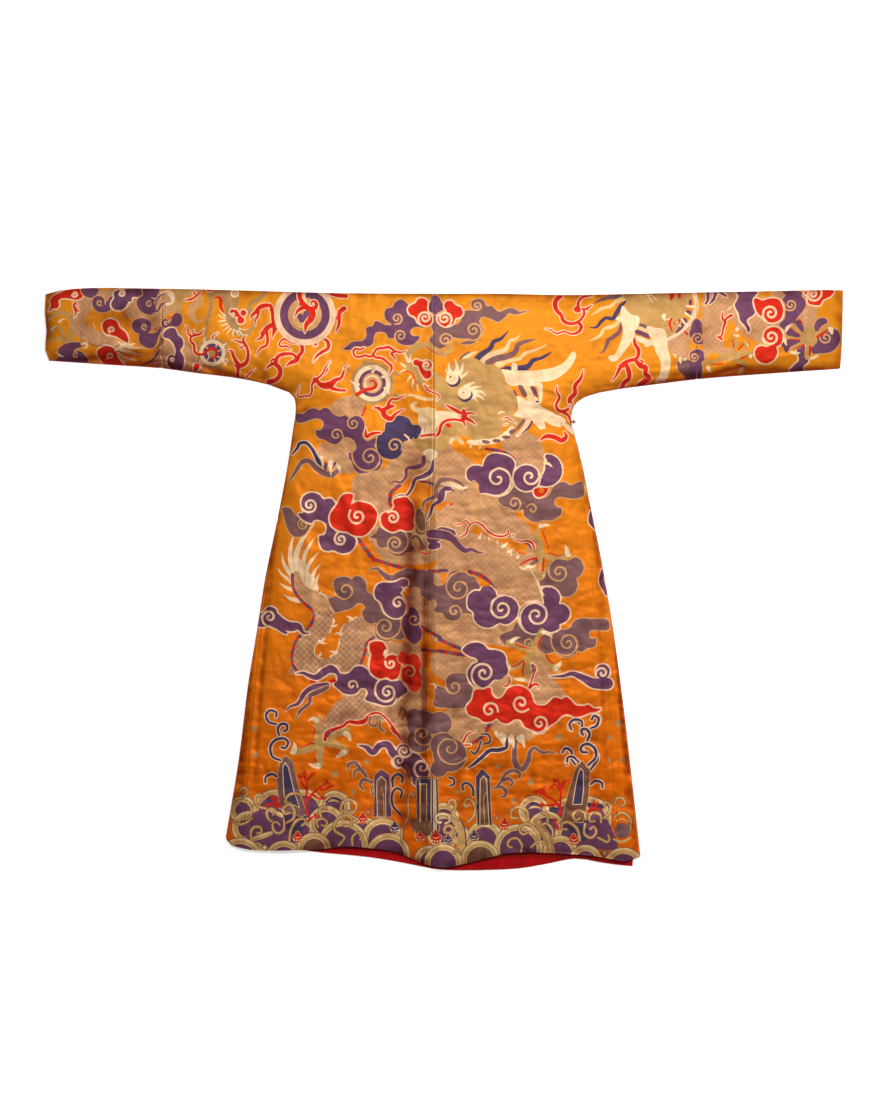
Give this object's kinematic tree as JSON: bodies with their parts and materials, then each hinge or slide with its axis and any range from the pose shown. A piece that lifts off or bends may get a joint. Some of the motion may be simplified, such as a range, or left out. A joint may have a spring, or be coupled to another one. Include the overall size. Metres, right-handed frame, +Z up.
{
  "type": "dragon chuba robe",
  "caption": "Long T-shaped silk robe laid flat with its back uppermost: seamed back, side gores, long narrow sleeves, a wide overlap with a crimson lining and a ball button at the armpit.",
  "frame": {"origin": "middle of the robe's outline, on the surface it lies on", "axes": "+X to the wearer's right sleeve, +Y to the shoulders, +Z up from the surface, out of the back"},
  "size_m": [1.9, 1.3872, 0.0171],
  "materials": {
    "satin": "patterned silk satin",
    "satin_underside": "silk satin",
    "lining": "crimson lining silk",
    "cord": "red silk cord",
    "button": "dull old metal"
  },
  "bodies": {
    "root": {"back_left": "satin", "back_right": "satin", "gore_left": "satin", "gore_right": "satin", "sleeve_left_back": "satin", "sleeve_right_back": "satin", "sleeve_left_front": "satin_underside", "sleeve_right_front": "satin_underside", "front_left": "satin_underside", "front_overlap": "satin_underside", "front_right": "satin_underside", "lining_front": "lining", "lining_inner": "lining", "loop_tab": "cord", "button_loop": "cord", "button": "button"}
  },
  "joints": []
}
